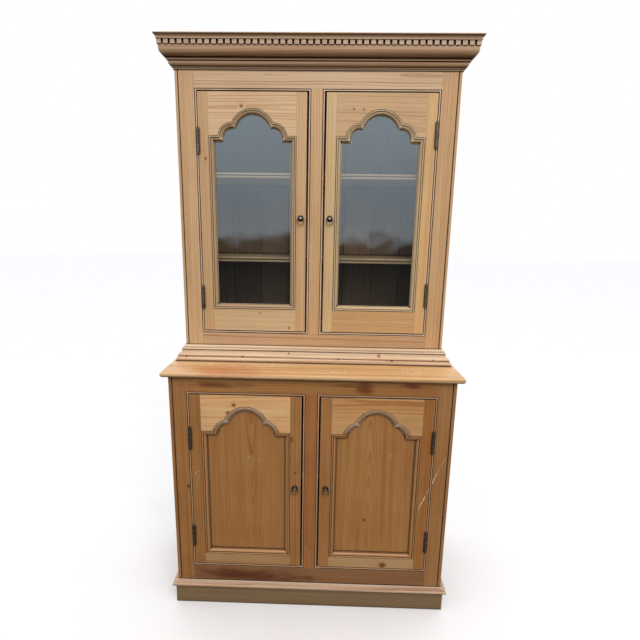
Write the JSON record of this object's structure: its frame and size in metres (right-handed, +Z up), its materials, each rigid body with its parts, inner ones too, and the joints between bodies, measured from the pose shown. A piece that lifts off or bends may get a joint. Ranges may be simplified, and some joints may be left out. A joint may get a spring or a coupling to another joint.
{
  "type": "pantry cabinet",
  "caption": "Two-part pine pantry cabinet: glazed arched doors over an open-shelved upper case, worktop, and panelled doors below.",
  "frame": {"origin": "middle of the footprint on the floor", "axes": "+Z up, the doors face -Y, and +X is to the right for someone facing the doors"},
  "size_m": [1.104, 0.476, 2.116],
  "materials": {
    "upper_pine": "waxed",
    "lower_pine": "waxed",
    "inner_pine": "dry",
    "dark_boards": "dark stained",
    "cornice_pine": "waxed",
    "worktop_pine": "worn wax",
    "plinth_pine": "scuffed",
    "glass": "clear",
    "hinge_metal": "dark aged",
    "pull_metal": "dark aged"
  },
  "bodies": {
    "case": {"cornice": "cornice_pine", "dentils": "cornice_pine", "door_stops": "inner_pine", "frame_hinge_leaves": "hinge_metal", "lower_back_boards": "dark_boards", "lower_bottom_board": "inner_pine", "lower_muntin": "lower_pine", "lower_opening_beads": "lower_pine", "lower_rails": "lower_pine", "lower_shelf": "inner_pine", "lower_side_left": "lower_pine", "lower_side_right": "lower_pine", "lower_stiles": "lower_pine", "plinth_boards": "plinth_pine", "plinth_moulding": "plinth_pine", "shelf_battens": "inner_pine", "upper_back_boards": "dark_boards", "upper_bottom_board": "inner_pine", "upper_muntin": "upper_pine", "upper_opening_beads": "upper_pine", "upper_rails": "upper_pine", "upper_shelves": "inner_pine", "upper_side_left": "upper_pine", "upper_side_right": "upper_pine", "upper_stiles": "upper_pine", "upper_top_board": "inner_pine", "waist_moulding": "worktop_pine", "worktop": "worktop_pine"},
    "upper_door_left": {"upper_door_left_bottom_rail": "upper_pine", "upper_door_left_glass": "glass", "upper_door_left_hinge_leaves": "hinge_metal", "upper_door_left_moulding": "upper_pine", "upper_door_left_pull": "pull_metal", "upper_door_left_stiles": "upper_pine", "upper_door_left_top_rail": "upper_pine"},
    "upper_door_left_ring_body": {"upper_door_left_ring": "pull_metal"},
    "upper_door_right": {"upper_door_right_bottom_rail": "upper_pine", "upper_door_right_glass": "glass", "upper_door_right_hinge_leaves": "hinge_metal", "upper_door_right_moulding": "upper_pine", "upper_door_right_pull": "pull_metal", "upper_door_right_stiles": "upper_pine", "upper_door_right_top_rail": "upper_pine"},
    "upper_door_right_ring_body": {"upper_door_right_ring": "pull_metal"},
    "lower_door_left": {"lower_door_left_bottom_rail": "lower_pine", "lower_door_left_hinge_leaves": "hinge_metal", "lower_door_left_moulding": "lower_pine", "lower_door_left_panel": "lower_pine", "lower_door_left_pull": "pull_metal", "lower_door_left_stiles": "lower_pine", "lower_door_left_top_rail": "lower_pine"},
    "lower_door_left_ring_body": {"lower_door_left_ring": "pull_metal"},
    "lower_door_right": {"lower_door_right_bottom_rail": "lower_pine", "lower_door_right_hinge_leaves": "hinge_metal", "lower_door_right_moulding": "lower_pine", "lower_door_right_panel": "lower_pine", "lower_door_right_pull": "pull_metal", "lower_door_right_stiles": "lower_pine", "lower_door_right_top_rail": "lower_pine"},
    "lower_door_right_ring_body": {"lower_door_right_ring": "pull_metal"}
  },
  "joints": [
    {"name": "upper_door_left_hinge", "type": "hinge", "parent": "case", "child": "upper_door_left", "pos_m": [-0.4233, -0.0663, 1.5], "axis": [0, 0, -1], "range_deg": [0, 160]},
    {"name": "upper_door_left_ring_swing", "type": "hinge", "parent": "upper_door_left", "child": "upper_door_left_ring_body", "pos_m": [-0.0535, -0.0705, 1.52], "axis": [-1, 0, 0], "range_deg": [-6, 110]},
    {"name": "upper_door_right_hinge", "type": "hinge", "parent": "case", "child": "upper_door_right", "pos_m": [0.4233, -0.0663, 1.5], "axis": [0, 0, 1], "range_deg": [0, 160]},
    {"name": "upper_door_right_ring_swing", "type": "hinge", "parent": "upper_door_right", "child": "upper_door_right_ring_body", "pos_m": [0.0535, -0.0705, 1.52], "axis": [-1, 0, 0], "range_deg": [-6, 110]},
    {"name": "lower_door_left_hinge", "type": "hinge", "parent": "case", "child": "lower_door_left", "pos_m": [-0.4505, -0.2213, 0.5], "axis": [0, 0, -1], "range_deg": [0, 160]},
    {"name": "lower_door_left_ring_swing", "type": "hinge", "parent": "lower_door_left", "child": "lower_door_left_ring_body", "pos_m": [-0.0585, -0.2255, 0.517], "axis": [-1, 0, 0], "range_deg": [-6, 110]},
    {"name": "lower_door_right_hinge", "type": "hinge", "parent": "case", "child": "lower_door_right", "pos_m": [0.4505, -0.2213, 0.5], "axis": [0, 0, 1], "range_deg": [0, 160]},
    {"name": "lower_door_right_ring_swing", "type": "hinge", "parent": "lower_door_right", "child": "lower_door_right_ring_body", "pos_m": [0.0585, -0.2255, 0.517], "axis": [-1, 0, 0], "range_deg": [-6, 110]}
  ]
}
